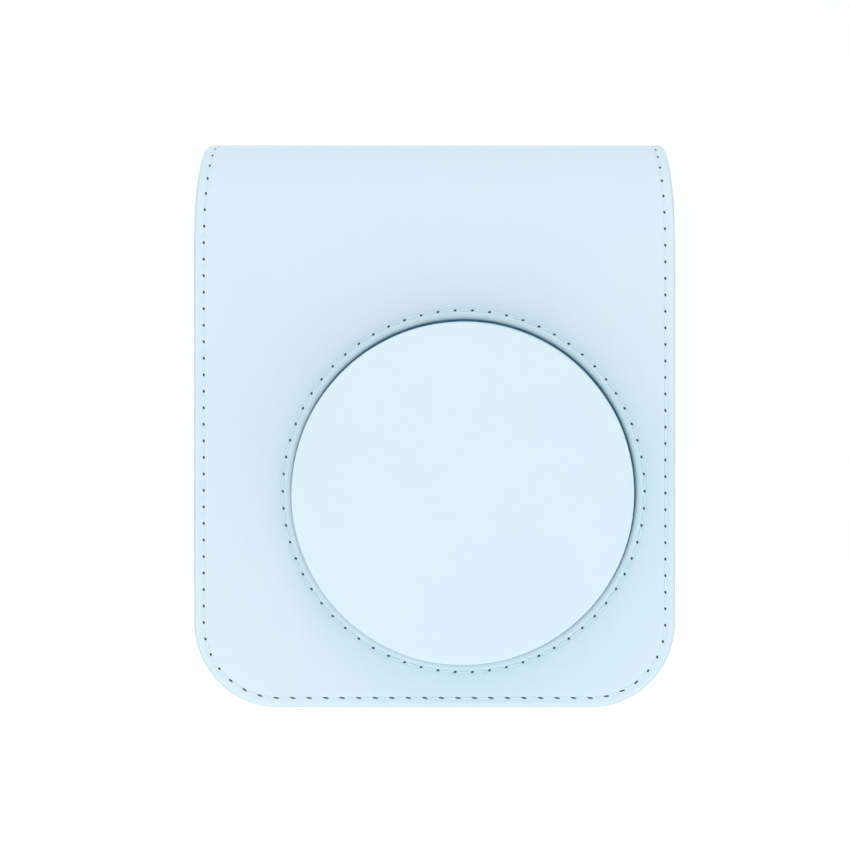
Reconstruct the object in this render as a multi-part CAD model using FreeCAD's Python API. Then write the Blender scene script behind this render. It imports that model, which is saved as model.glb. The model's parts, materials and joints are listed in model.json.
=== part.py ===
"""Instant camera in its fitted soft case, as separate pieces. Millimetres, +Z up, front faces -Y.

The case is a rear half (back panel and a band round the sides and bottom) and a front cover that
hinges at the bottom edge, runs up the front, over the top, and rests on a magnetic lip at the rear.
"""
import FreeCAD
import Part
import math
import os

V = FreeCAD.Vector

# --- case, overall -------------------------------------------------------------------------------
WIDTH = 112.0            # widest, across the front cover
HEIGHT = 132.9           # base to top of the flap
CUP_FRONT_Y = -35.0      # front face of the lens cup
FRONT_Y = -17.5          # outer face of the front cover
BACK_Y = 35.0            # outer face of the back panel
CORNER_R = 19.8          # bottom corners
SIDE_TOP_Z = 107.0       # above this the sides begin to draw in
TOP_HALF = 54.0          # half width where the cover rolls over the top
FLAP_WAIST = (51.4, 17.0)   # the top flap, seen from above: (half width, y)
FLAP_FLANK = (50.4, 23.5)
FLAP_CORNER = (48.4, 28.5)
FLAP_TURN = (46.4, 32.9)
FLAP_TIP = (41.5, 34.6)
FOLD_R = 16.0            # outer radius of that roll

# --- laminate: outer skin, stiffener board, lining -------------------------------------------------
SKIN, BOARD, LINING = 0.9, 0.8, 0.7
WALL = SKIN + BOARD + LINING
BOARD_INSET = 4.5        # boards stop short of the stitched edge
JOINT_GAP = 0.3          # between the cover and the rear half
HINGE_HALF, HINGE_REACH, HINGE_T = 34.0, 12.0, 0.5   # leather strips inside the bottom edge

# --- lens cup --------------------------------------------------------------------------------------
CUP_X, CUP_Z = 6.8, 50.4
CUP_HOLE_R = 40.0
CUP_BASE_R, CUP_FRONT_R = 39.5, 38.4
CUP_SKIN, CUP_STIFF, CUP_LINING = 0.9, 0.6, 0.5
CUP_FOAM, CUP_BOARD, CUP_FLOOR = 1.0, 0.8, 0.6   # behind the face skin, from front to rear
CUP_FLANGE = 0.5         # thickness of the wall's turned-out foot
SEAM_DEPTH = 1.2         # how far the dark seam band sits below the cover's face

# --- rear half -------------------------------------------------------------------------------------
BAND_Y0 = FRONT_Y + WALL + JOINT_GAP
BAND_Y1 = BACK_Y - WALL
BAND_TOP_Z = 125.0
BAND_CORNER_R = 7.5      # top front corners of the band, inside the roll
BACK_TOP_Z = 130.2
BACK_TOP_R = 14.0
LIP_HALF, LIP_Y0, LIP_Z0 = 40.0, 19.0, 128.1
MAGNET_R, MAGNET_X, MAGNET_Y = 5.0, 26.0, 26.5
EYE_X, EYE_Z = 35.0, 114.0        # viewfinder axis
EYE_HOLE = 14.0                   # side of the square cut-out behind it
COUNTER_X, COUNTER_Z = -12.0, 66.0
COUNTER_W, COUNTER_H = 9.0, 20.0  # film counter window

# --- strap rings -----------------------------------------------------------------------------------
RING_Y, RING_Z = 25.0, 112.0      # middle of the ring's bar
RING_WIRE_R, RING_HALF, RING_DROP = 1.0, 7.0, 3.5
RING_CLEAR = 0.15
RING_OUT = 1.9                    # bar's centre, out from the band
TAB_HALF, TAB_LENGTH, TAB_THICK = 5.0, 20.0, 0.6

# --- camera ----------------------------------------------------------------------------------------
CAM_HALF = 52.0
CAM_Z0, CAM_Z1 = 3.2, 125.2
CAM_Y0, CAM_SPLIT_Y, CAM_Y1 = -14.0, 8.0, 32.0
CAM_R = 19.0
CAM_EDGE_R = 5.0         # round edges of the camera's front and back faces
SHELL = 1.8
BARREL_R, BARREL_FRONT_Y = 31.0, -29.5
DIAL_R, DIAL_Y0, DIAL_Y1 = 33.4, -28.5, -16.5
PACK_HALF, PACK_Z0, PACK_Z1 = 31.0, 6.0, 97.0
PACK_Y0, PACK_Y1 = 15.0, 29.0
CHAMBER_Z1 = 98.6
ROLLER_R, ROLLER_Z, SHAFT_R = 3.6, 104.0, 1.2
NIP_Y, NIP_GAP = 16.2, 0.5        # where the rollers pinch a film, and the gap between them
FILM_HALF = 27.0
FILM_SHEETS, FILM_PITCH, FILM_T = 10, 0.6, 0.4
GEAR_X0, GEAR_X1 = 38.2, 41.2
ROLLER_TEETH, PINION_TEETH = 12, 10
BUTTON_X, BUTTON_Z, BUTTON_R = -41.0, 70.0, 6.0
RUN = 0.05                        # radial clearance of a running fit
SWITCH_Y = -6.9                   # bottom of the shutter button's well
BOSS_R, SCREW_R, HEAD_R, HEAD_Y = 3.2, 1.1, 2.6, 30.6
SCREW_SPOTS = ((-42.0, 15.0), (43.5, 15.0), (-42.0, 112.0), (45.0, 84.0))
SENSOR_X, SENSOR_Z, SENSOR_R = (-4.0, 3.0), 112.0, 1.8
DOOR_Y, DOOR_T, DOOR_FIT = 30.9, 1.1, 0.3
DOOR_HALF, DOOR_Z0, DOOR_Z1 = 34.0, 7.0, 101.0
HATCH_Y, HATCH_Z = (10.0, 28.0), (20.0, 70.0)    # battery door in the left side
FLASH_X, FLASH_Z = (-37.0, -15.0), (96.0, 110.0)
CELL_X, CELL_YS, CELL_R, CELL_Z0, CELL_Z1 = -41.5, (2.4, 22.0), 7.1, 20.0, 69.0
DIAL_RIBS, DIAL_RIB_R = 48, 0.8


def box(x0, x1, y0, y1, z0, z1):
    return Part.makeBox(x1 - x0, y1 - y0, z1 - z0, V(x0, y0, z0))


def rod_y(x, z, r, y0, y1):
    return Part.makeCylinder(r, y1 - y0, V(x, y0, z), V(0, 1, 0))


def rod_x(y, z, r, x0, x1):
    return Part.makeCylinder(r, x1 - x0, V(x0, y, z), V(1, 0, 0))


def rod_z(x, y, r, z0, z1):
    return Part.makeCylinder(r, z1 - z0, V(x, y, z0), V(0, 0, 1))


def tube_y(x, z, r_out, r_in, y0, y1):
    return rod_y(x, z, r_out, y0, y1).cut(rod_y(x, z, r_in, y0 - 1, y1 + 1))


def tile_y(x0, x1, z0, z1, r, y0, y1):
    """A rounded rectangle in the XZ plane, extruded along Y."""
    solid = box(x0, x1, y0, y1, z0, z1)
    edges = [e for e in solid.Edges if abs(e.tangentAt(e.FirstParameter).y) > 0.9]
    return solid.makeFillet(r, edges)


def line(a, b):
    return Part.LineSegment(a, b).toShape()


def arc(a, b, c):
    return Part.Arc(a, b, c).toShape()


def corner_mid(centre, r, angle):
    """The middle point of a quarter arc, at an angle in degrees from +X towards +Z."""
    return V(centre.x + r * math.cos(math.radians(angle)), 0, centre.z + r * math.sin(math.radians(angle)))


def mirrored(p):
    return V(-p.x, p.y, p.z)


def front_outline(inset=0.0, top=HEIGHT):
    """The case's outline seen from the front: round bottom corners, and sides that draw in at the top."""
    half, r, base = WIDTH / 2 - inset, CORNER_R - inset, inset
    crown = V(TOP_HALF - inset, 0, HEIGHT)
    side = [V(half - r, 0, base), V(half, 0, base + r), V(half, 0, SIDE_TOP_Z)]
    bend = V(half - (half - crown.x) / 4, 0, (SIDE_TOP_Z + HEIGHT) / 2)
    mid = corner_mid(V(half - r, 0, base + r), r, -45)

    edges = [line(side[0], mirrored(side[0])), line(crown, mirrored(crown))]
    for hand in (V, mirrored):
        a, b, c = (hand(p) for p in side)
        edges += [arc(a, hand(mid), b), line(b, c), arc(c, hand(bend), hand(crown))]
    face = Part.Face(Part.Wire(Part.__sortEdges__(edges)))
    prism = face.extrude(V(0, 200, 0))
    prism.translate(V(0, -100, 0))
    return prism if top >= HEIGHT else prism.common(box(-100, 100, -100, 100, -10, top))


def flap_outline(inset=0.0):
    """The top flap's outline seen from above: it narrows towards the rear and has round corners."""
    front = V(WIDTH / 2 + 0.5 - inset, FRONT_Y - 0.1, 0)
    neck = V(TOP_HALF - inset, FRONT_Y + FOLD_R, 0)
    waist, flank, corner = (V(x - inset, y, 0) for x, y in (FLAP_WAIST, FLAP_FLANK, FLAP_CORNER))
    turn, tip = (V(x - inset, y - inset, 0) for x, y in (FLAP_TURN, FLAP_TIP))
    rows = [line(front, mirrored(front)), line(tip, mirrored(tip))]
    for hand in (V, mirrored):
        p = [hand(q) for q in (front, neck, waist, corner, tip)]
        rows += [line(p[0], p[1]), line(p[1], p[2])]
        rows += [arc(p[2], hand(flank), p[3]), arc(p[3], hand(turn), p[4])]
    prism = Part.Face(Part.Wire(Part.__sortEdges__(rows))).extrude(V(0, 0, 300))
    prism.translate(V(0, 0, -100))
    return prism


def fold_profile(depth0, depth1):
    """A bent sheet, up the front and back over the top, between two depths under the outer face."""
    def side(depth):
        solid = box(-WIDTH, WIDTH, FRONT_Y + depth, 60, -1, HEIGHT - depth)
        edges = [e for e in solid.Edges
                 if abs(e.tangentAt(e.FirstParameter).x) > 0.9
                 and abs(e.BoundBox.YMin - (FRONT_Y + depth)) < 1e-6
                 and abs(e.BoundBox.ZMax - (HEIGHT - depth)) < 1e-6]
        return solid.makeFillet(FOLD_R - depth, edges)
    return side(depth0).cut(side(depth1))


def cone_y(r0, r1, y0, y1):
    """A round of the lens cup's axis, of radius r0 at y0 and r1 at y1."""
    return Part.makeCone(r0, r1, y1 - y0, V(CUP_X, y0, CUP_Z), V(0, 1, 0))


def disc(r, y0, y1):
    return rod_y(CUP_X, CUP_Z, r, y0, y1)


def ring(r_out, r_in, y0, y1):
    return tube_y(CUP_X, CUP_Z, r_out, r_in, y0, y1)


def mirror_x(shape):
    return shape.mirror(V(0, 0, 0), V(1, 0, 0))


def compound(shapes):
    return Part.makeCompound(list(shapes))


# --- front cover -----------------------------------------------------------------------------------
def cover_sheet(depth0, depth1):
    """One layer of the front cover: front and top in one piece, trimmed to both outlines."""
    above_fold = box(-100, 100, -100, 100, HEIGHT - FOLD_R, HEIGHT + 10)
    sheet = fold_profile(depth0, depth1).common(front_outline())
    sheet = sheet.cut(above_fold.cut(flap_outline()))
    return sheet.cut(disc(CUP_HOLE_R, CUP_FRONT_Y, BAND_Y0))


def front_cover():
    y_board = FRONT_Y + SKIN
    board_hole = disc(CUP_HOLE_R + BOARD_INSET, CUP_FRONT_Y, 0)
    front_board = front_outline(BOARD_INSET, HEIGHT - FOLD_R - BOARD_INSET)
    front_board = front_board.common(box(-60, 60, y_board, y_board + BOARD, 0, HEIGHT)).cut(board_hole)
    z_board = HEIGHT - SKIN - BOARD
    top_board = flap_outline(BOARD_INSET)
    top_board = top_board.common(box(-60, 60, FRONT_Y + FOLD_R, BACK_Y, z_board, z_board + BOARD))
    magnets = [rod_z(s * MAGNET_X, MAGNET_Y, MAGNET_R, z_board, z_board + BOARD) for s in (-1, 1)]
    strip = box(-HINGE_HALF, HINGE_HALF, FRONT_Y + WALL, FRONT_Y + WALL + HINGE_T, WALL + 1.0, HINGE_REACH)
    strip = strip.cut(disc(CUP_HOLE_R + BOARD_INSET, -60, 60))
    return {
        "cover_skin": cover_sheet(0, SKIN),
        "cover_front_board": front_board,
        "cover_top_board": top_board.cut(compound(magnets)),
        "cover_lining": cover_sheet(SKIN + BOARD, WALL),
        "cover_magnets": compound(magnets),
        "cover_hinge_strip": strip,
    }


def cup_layer(depth0, depth1):
    """A layer of the cup's side wall: straight behind the cover's face, slightly tapered in front of it."""
    y_end = CUP_FRONT_Y + CUP_SKIN

    def solid(depth):
        back = disc(CUP_BASE_R - depth, FRONT_Y, FRONT_Y + WALL)
        return back.fuse(cone_y(CUP_FRONT_R - depth, CUP_BASE_R - depth, y_end, FRONT_Y)).removeSplitter()
    return solid(depth0).cut(solid(depth1))


def lens_cup():
    y = CUP_FRONT_Y
    skin_disc = disc(CUP_FRONT_R, y, y + CUP_SKIN)
    rim = [e for e in skin_disc.Edges if abs(e.BoundBox.YMax - y) < 1e-6]
    skin_disc = skin_disc.makeFillet(0.7, rim)
    stiff_in = CUP_SKIN + CUP_STIFF
    wall_in = stiff_in + CUP_LINING
    foot_y = FRONT_Y + WALL
    flange = ring(CUP_HOLE_R + BOARD_INSET, CUP_BASE_R - CUP_SKIN, foot_y, foot_y + CUP_FLANGE)
    inner_r = CUP_FRONT_R - wall_in - 0.1
    foam_y = y + CUP_SKIN
    board_y = foam_y + CUP_FOAM
    lining_y = board_y + CUP_BOARD
    floor = disc(CUP_FRONT_R - stiff_in - CUP_LINING / 2, lining_y, lining_y + CUP_FLOOR)
    return {
        "cup_face_skin": skin_disc,
        "cup_face_foam": disc(inner_r, foam_y, board_y),
        "cup_face_board": disc(inner_r, board_y, lining_y),
        "cup_wall_skin": cup_layer(0, CUP_SKIN).fuse(flange).removeSplitter(),
        "cup_wall_stiffener": cup_layer(CUP_SKIN, stiff_in),
        "cup_lining": cup_layer(stiff_in, wall_in).fuse(floor).removeSplitter(),
        "cup_seam_band": ring(CUP_HOLE_R, CUP_BASE_R, FRONT_Y + SEAM_DEPTH, FRONT_Y + WALL),
    }


# --- rear half -------------------------------------------------------------------------------------
def band_layer(inset0, inset1, y0, y1, top):
    strip = front_outline(inset0, top).cut(front_outline(inset1))
    y_mid, z_mid = BAND_Y0 + BAND_CORNER_R, BAND_TOP_Z - BAND_CORNER_R
    corner = box(-60, 60, BAND_Y0, y_mid, z_mid, BAND_TOP_Z).cut(rod_x(y_mid, z_mid, BAND_CORNER_R, -60, 60))
    return strip.common(box(-100, 100, y0, y1, -1, top)).cut(corner)


def back_outline(inset):
    """The back panel's outline: the front's, cut off under the flap with round top corners."""
    shape = front_outline(inset, BACK_TOP_Z - inset)
    half = WIDTH / 2 - inset
    top = tile_y(-half, half, 0, BACK_TOP_Z - inset, BACK_TOP_R, -90, 90)
    corner_z = BACK_TOP_Z - BACK_TOP_R
    keep = top.fuse(box(-100, 100, -90, 90, -10, corner_z - inset))
    return shape.common(keep)


def back_layer(inset, y0, y1, hole_grow):
    eye = EYE_HOLE / 2 + hole_grow
    w, h = COUNTER_W / 2 + hole_grow, COUNTER_H / 2 + hole_grow
    plate = back_outline(inset).common(box(-100, 100, y0, y1, -1, HEIGHT))
    plate = plate.cut(tile_y(EYE_X - eye, EYE_X + eye, EYE_Z - eye, EYE_Z + eye, 4, y0 - 1, y1 + 1))
    return plate.cut(tile_y(COUNTER_X - w, COUNTER_X + w, COUNTER_Z - h, COUNTER_Z + h, 2, y0 - 1, y1 + 1))


def rear_half():
    y_board = BACK_Y - SKIN - BOARD
    z_magnet = LIP_Z0 + 0.5
    magnets = [rod_z(s * MAGNET_X, MAGNET_Y, MAGNET_R, z_magnet, z_magnet + 1.2) for s in (-1, 1)]
    lip = box(-LIP_HALF, LIP_HALF, LIP_Y0, BAND_Y1, LIP_Z0, BACK_TOP_Z)
    front_corners = [e for e in lip.Edges
                     if abs(e.tangentAt(0).z) > 0.9 and abs(e.BoundBox.YMin - LIP_Y0) < 1e-6]
    lip = lip.makeFillet(8, front_corners)
    w, h = COUNTER_W / 2 + 1.5, COUNTER_H / 2 + 1.5
    pane_y = BACK_Y - SKIN
    strip_y = BAND_Y0 + HINGE_REACH
    return {
        "band_skin": band_layer(0, SKIN, BAND_Y0, BAND_Y1, BAND_TOP_Z),
        "band_board": band_layer(SKIN, SKIN + BOARD, BAND_Y0 + 3, BAND_Y1 - 2, BAND_TOP_Z - 3),
        "band_lining": band_layer(SKIN + BOARD, WALL, BAND_Y0, BAND_Y1, BAND_TOP_Z),
        "back_skin": back_layer(0, BACK_Y - SKIN, BACK_Y, 0),
        "back_board": back_layer(BOARD_INSET, y_board, y_board + BOARD, 2),
        "back_lining": back_layer(0, BAND_Y1, BAND_Y1 + LINING, 0),
        "rear_lip": lip.cut(compound(magnets)),
        "rear_lip_magnets": compound(magnets),
        "counter_window": tile_y(COUNTER_X - w, COUNTER_X + w, COUNTER_Z - h, COUNTER_Z + h,
                                 2, pane_y - 0.4, pane_y),
        "base_hinge_strip": box(-HINGE_HALF, HINGE_HALF, BAND_Y0, strip_y, WALL, WALL + HINGE_T),
    }


def strap_ring():
    """The right-hand D ring, hanging, and its leather tab."""
    x, half, r = WIDTH / 2 + RING_OUT, RING_HALF, RING_WIRE_R
    low = RING_Z - RING_DROP

    def leg(y):
        return rod_z(x, y, r, low, RING_Z).fuse(Part.makeSphere(r, V(x, y, RING_Z)))

    bow = Part.makeTorus(half, r, V(x, RING_Y, low), V(1, 0, 0)).common(
        box(x - 5, x + 5, RING_Y - 20, RING_Y + 20, low - 20, low))
    wire = rod_y(x, RING_Z, r, RING_Y - half, RING_Y + half)
    for part in (leg(RING_Y - half), leg(RING_Y + half), bow):
        wire = wire.fuse(part)
    y0, y1 = RING_Y - TAB_HALF, RING_Y + TAB_HALF
    plate = box(WIDTH / 2, WIDTH / 2 + TAB_THICK, y0, y1, RING_Z - TAB_LENGTH, RING_Z)
    loop = rod_y(x, RING_Z, RING_OUT, y0, y1)
    bore = rod_y(x, RING_Z, r + RING_CLEAR, y0 - 1, y1 + 1)
    return wire.removeSplitter(), plate.fuse(loop).cut(bore).removeSplitter()


def strap_rings():
    wire, tab = strap_ring()
    return {"ring_right": wire, "ring_left": mirror_x(wire), "ring_tabs": compound([tab, mirror_x(tab)])}


# --- camera body -----------------------------------------------------------------------------------
def camera_block(inset, y0, y1):
    return tile_y(-CAM_HALF + inset, CAM_HALF - inset, CAM_Z0 + inset, CAM_Z1 - inset,
                  CAM_R - inset, y0, y1)


def rounded_shell(y_face, y_split):
    """Half of the body: a shell open at the split, its outer face edge rounded."""
    y0, y1 = min(y_face, y_split), max(y_face, y_split)
    outer = camera_block(0, y0, y1)
    edges = [e for e in outer.Edges
             if abs(e.BoundBox.YMin - y_face) < 1e-4 and abs(e.BoundBox.YMax - y_face) < 1e-4]
    inward = SHELL if y_face < y_split else -SHELL
    inner = camera_block(SHELL, min(y_face + inward, y_split), max(y_face + inward, y_split))
    return outer.makeFillet(CAM_EDGE_R, edges).cut(inner)


def front_housing():
    inner_y = CAM_Y0 + SHELL
    shape = rounded_shell(CAM_Y0, CAM_SPLIT_Y)
    well = tube_y(BUTTON_X, BUTTON_Z, BUTTON_R + 2.6, BUTTON_R + 1.5, inner_y, SWITCH_Y + 1.5)
    floor = rod_y(BUTTON_X, BUTTON_Z, BUTTON_R + 2.6, SWITCH_Y, SWITCH_Y + 1.5)
    shape = shape.fuse([well, floor, ring(DIAL_R + 0.6, BARREL_R, DIAL_Y1 + 0.3, CAM_Y0)])
    for x, z in SCREW_SPOTS:
        boss = rod_y(x, z, BOSS_R, inner_y, CAM_SPLIT_Y)
        shape = shape.fuse(boss).cut(rod_y(x, z, SCREW_R, CAM_SPLIT_Y - 6, CAM_SPLIT_Y))
    for hole in (disc(BARREL_R, -60, inner_y), rod_y(BUTTON_X, BUTTON_Z, BUTTON_R + 0.3, -60, inner_y),
                 flash_tile(0.0, -60, CAM_Y0 + 1.0), flash_tile(1.2, -60, inner_y),
                 finder_tile(0.0, -60, CAM_Y0 + 1.0), finder_tile(1.2, -60, inner_y)):
        shape = shape.cut(hole)
    return shape.cut(compound(rod_y(x, SENSOR_Z, SENSOR_R, -60, inner_y) for x in SENSOR_X))


def rear_housing():
    shape = rounded_shell(CAM_Y1, CAM_SPLIT_Y)
    inner_y = CAM_Y1 - SHELL
    for x, z in SCREW_SPOTS:
        boss = rod_y(x, z, BOSS_R, CAM_SPLIT_Y, inner_y)
        hole = rod_y(x, z, SCREW_R, CAM_SPLIT_Y, CAM_Y1).fuse(rod_y(x, z, HEAD_R, HEAD_Y, CAM_Y1))
        shape = shape.fuse(boss).cut(hole)
    slot_y = (NIP_Y - 1.2, NIP_Y + 1.2)
    slot = box(CUP_X - FILM_HALF - 1, CUP_X + FILM_HALF + 1, *slot_y, CAM_Z1 - 5, CAM_Z1 + 5)
    for cut in (slot, finder_tile(1.2, inner_y - 1, CAM_Y1 + 1), door_tile(0, DOOR_Y, CAM_Y1 + 1),
                door_tile(2, inner_y - 1, CAM_Y1), hatch(DOOR_FIT, -60, -CAM_HALF + DOOR_T),
                hatch(DOOR_FIT - 2, -60, -CAM_HALF + 3)):
        shape = shape.cut(cut)
    return shape


def door_tile(inset, y0, y1):
    half = DOOR_HALF - inset
    return tile_y(CUP_X - half, CUP_X + half, DOOR_Z0 + inset, DOOR_Z1 - inset, 5, y0, y1)


def hatch(grow, x0, x1):
    return box(x0, x1, HATCH_Y[0] - grow, HATCH_Y[1] + grow, HATCH_Z[0] - grow, HATCH_Z[1] + grow)


def flash_tile(inset, y0, y1):
    return tile_y(FLASH_X[0] + inset, FLASH_X[1] - inset, FLASH_Z[0] + inset, FLASH_Z[1] - inset, 2.5, y0, y1)


def finder_tile(inset, y0, y1):
    return tile_y(EYE_X - 6 + inset, EYE_X + 6 - inset, EYE_Z - 5 + inset, EYE_Z + 5 - inset, 2.5, y0, y1)


def finder_parts():
    """The viewfinder: a tube through the body with a window in front and an eyepiece behind."""
    y0, y1 = CAM_Y0 + SHELL, CAM_Y1 - SHELL
    window = finder_tile(0.05, CAM_Y0 + 0.2, CAM_Y0 + 1.0)
    eyepiece = finder_tile(1.25, y1, y1 + 0.8)
    return {
        "finder_tube": finder_tile(0, y0, y1).cut(finder_tile(1.2, y0 - 1, y1 + 1)),
        "finder_lenses": compound([window, eyepiece]),
    }


def body_parts():
    film_door = door_tile(DOOR_FIT, DOOR_Y, CAM_Y1)
    counter = tile_y(COUNTER_X - 3, COUNTER_X + 3, COUNTER_Z - 8, COUNTER_Z + 8, 1.5, 20, 40)
    screws = [rod_y(x, z, HEAD_R - 0.1, HEAD_Y, CAM_Y1 - 0.2).fuse(
        rod_y(x, z, SCREW_R - 0.02, CAM_SPLIT_Y - 5, HEAD_Y)) for x, z in SCREW_SPOTS]
    return {
        "camera_front_housing": front_housing(),
        "camera_rear_housing": rear_housing(),
        "film_door": film_door.cut(counter),
        "battery_door": hatch(0, -CAM_HALF, -CAM_HALF + DOOR_T),
        "body_screws": compound(screws),
        "light_sensors": compound(rod_y(x, SENSOR_Z, SENSOR_R, CAM_Y0 + 0.4, CAM_Y0 + SHELL)
                                  for x in SENSOR_X),
    }


# --- lens ------------------------------------------------------------------------------------------
def turned(points):
    """A solid of revolution about the lens axis from (radius, y) points."""
    rim = [V(CUP_X + r, y, CUP_Z) for r, y in points]
    face = Part.Face(Part.makePolygon(rim + rim[:1]))
    return face.revolve(V(CUP_X, 0, CUP_Z), V(0, 1, 0), 360)


def lens_element(r, y0, y1, bulge):
    """A plano-convex glass, its curved face to the front and its flat one at y1."""
    ball_r = (r * r + bulge * bulge) / (2 * bulge)
    ball = Part.makeSphere(ball_r, V(CUP_X, y0 + ball_r, CUP_Z))
    return disc(r, y0, y1).common(ball)


def exposure_dial():
    """The turning ring round the barrel, ribbed for the fingers."""
    body = ring(DIAL_R - 0.5, BARREL_R + RUN, DIAL_Y0, DIAL_Y1)
    ribs = []
    r = DIAL_R - DIAL_RIB_R
    for i in range(DIAL_RIBS):
        a = 2 * math.pi * i / DIAL_RIBS
        x, z = CUP_X + r * math.cos(a), CUP_Z + r * math.sin(a)
        ribs.append(rod_y(x, z, DIAL_RIB_R, DIAL_Y0 + 1.5, DIAL_Y1 - 1.5))
    return body.fuse(ribs)


def lens_parts():
    front = BARREL_FRONT_Y
    barrel = ring(BARREL_R, BARREL_R - 2.4, front, -10).fuse(
        ring(BARREL_R + 2.6, BARREL_R - 2.4, CAM_Y0 + SHELL, -10.6)).removeSplitter()
    bezel = turned([(12, -27.5), (26, front - 1), (BARREL_R + 1.6, front - 1), (BARREL_R + 1.6, front),
                    (26.2, front), (12, -26.5)])
    cell = ring(12, 9.5, -28, -10.9).fuse(ring(10, 8.6, -24.4, -23.6)).fuse(ring(10, 6.4, -15, -14))
    mirror_x0 = CUP_X + 19 * math.cos(math.radians(30))
    mirror_z0 = CUP_Z + 19 * math.sin(math.radians(30))
    mirror = rod_y(mirror_x0, mirror_z0, 4.5, front - 1.1, front + 1)
    plate = disc(BARREL_R - 2.5, -10.9, -10).cut(disc(3, -12, -9))
    tunnel = tunnel_solid(0).cut(tunnel_solid(1.2))
    return {
        "lens_barrel": barrel,
        "exposure_dial": exposure_dial(),
        "barrel_bezel": bezel.cut(mirror),
        "selfie_mirror": mirror,
        "lens_cell": cell.removeSplitter(),
        "lens_elements": compound([lens_element(9.5, -27.6, -24.4, 2.2), lens_element(9.5, -17.4, -15, 1.4)]),
        "shutter_plate": plate,
        "light_tunnel": tunnel,
    }


def tunnel_solid(wall):
    """The light-tight tunnel that widens from the lens to the film."""
    def frame(half_x, half_z, y):
        x0, x1 = CUP_X - half_x + wall, CUP_X + half_x - wall
        z0, z1 = CUP_Z - half_z + wall, CUP_Z + half_z - wall
        return Part.makePolygon([V(x0, y, z0), V(x1, y, z0), V(x1, y, z1), V(x0, y, z1), V(x0, y, z0)])
    return Part.makeLoft([frame(11, 11, -10), frame(26, 34, PACK_Y0 - 1.5)], True)


# --- film, rollers and drive -----------------------------------------------------------------------
def gear(teeth, pitch_r, y, z, phase):
    """A spur gear on an X shaft; phase is the angle of its first tooth, in degrees from +Y."""
    module = 2 * pitch_r / teeth
    root, tip = pitch_r - 1.15 * module, pitch_r + 0.8 * module
    step = 2 * math.pi / teeth
    profile = ((root, -0.27), (pitch_r, -0.2), (tip, -0.1), (tip, 0.1), (pitch_r, 0.2), (root, 0.27))
    points = []
    for i in range(teeth):
        for r, offset in profile:
            a = math.radians(phase) + (i + offset) * step
            points.append(V(GEAR_X0, y + r * math.cos(a), z + r * math.sin(a)))
    face = Part.Face(Part.makePolygon(points + points[:1]))
    return face.extrude(V(GEAR_X1 - GEAR_X0, 0, 0))


def roller(y, phase):
    half = FILM_HALF + 1.5
    shaft = rod_x(y, ROLLER_Z, SHAFT_R, CUP_X - half - 2.5, GEAR_X1)
    rubber = rod_x(y, ROLLER_Z, ROLLER_R, CUP_X - half, CUP_X + half)
    return rubber.fuse([shaft, gear(ROLLER_TEETH, ROLLER_R + NIP_GAP / 2, y, ROLLER_Z, phase)])


def film_and_drive():
    axis_r = ROLLER_R + NIP_GAP / 2
    y_front, y_rear = NIP_Y - axis_r, NIP_Y + axis_r
    pinion_r = axis_r * PINION_TEETH / ROLLER_TEETH
    y_pinion = y_front + (axis_r + pinion_r) * math.cos(math.radians(240))
    z_pinion = ROLLER_Z + (axis_r + pinion_r) * math.sin(math.radians(240))
    pinion = gear(PINION_TEETH, pinion_r, y_pinion, z_pinion, 78).fuse(
        rod_x(y_pinion, z_pinion, 0.8, GEAR_X0, 45.5))
    motor = rod_x(y_pinion, z_pinion, 7.5, 42, CAM_HALF - SHELL).cut(
        rod_x(y_pinion, z_pinion, 0.8 + RUN, 42, 46))
    chamber = box(CUP_X - 32.4, CUP_X + 32.4, PACK_Y0 - 1.5, CAM_Y1 - SHELL, CAM_Z0 + SHELL, CHAMBER_Z1)
    chamber = chamber.common(camera_block(SHELL, CAM_Y0, CAM_Y1))
    inside = box(CUP_X - 31.3, CUP_X + 31.3, PACK_Y0 - 0.3, CAM_Y1, CAM_Z0 + SHELL + 0.9, 97.3)
    gate = box(CUP_X - 23, CUP_X + 23, PACK_Y0 - 2, PACK_Y0 + 2, CUP_Z - 31, CUP_Z + 31)
    exit_slot = box(CUP_X - FILM_HALF - 1, CUP_X + FILM_HALF + 1, NIP_Y - 1, NIP_Y + 1, 90, 100)
    pack = box(CUP_X - PACK_HALF, CUP_X + PACK_HALF, PACK_Y0, PACK_Y1, PACK_Z0, PACK_Z1)
    hollow = box(CUP_X - PACK_HALF + 1, CUP_X + PACK_HALF - 1, PACK_Y0 + 0.8, PACK_Y1 - 0.9,
                 PACK_Z0 + 1, PACK_Z1 - 1)
    y_sheets = [NIP_Y + i * FILM_PITCH for i in range(FILM_SHEETS)]
    film_x0, film_x1, film_z0, film_z1 = CUP_X - FILM_HALF, CUP_X + FILM_HALF, PACK_Z0 + 2, PACK_Z1 - 3
    sheets = [box(film_x0, film_x1, y - FILM_T / 2, y + FILM_T / 2, film_z0, film_z1) for y in y_sheets]
    brackets = [box(x, x + 1.4, y_front - 5, y_rear + 5, CHAMBER_Z1, ROLLER_Z + 5)
                for x in (CUP_X - 30.9, CUP_X + 29.5)]
    bearings = [rod_x(y, ROLLER_Z, SHAFT_R + RUN, -30, 40) for y in (y_front, y_rear)]
    return {
        "film_chamber": chamber.cut(compound([inside, gate, exit_slot])),
        "film_pack": pack.cut(hollow).cut(gate).cut(exit_slot),
        "film_sheets": compound(sheets),
        "roller_front": roller(y_front, 0),
        "roller_rear": roller(y_rear, 180 / ROLLER_TEETH),
        "roller_brackets": compound(brackets).cut(compound(bearings)),
        "motor_pinion": pinion,
        "film_motor": motor,
    }


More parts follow.
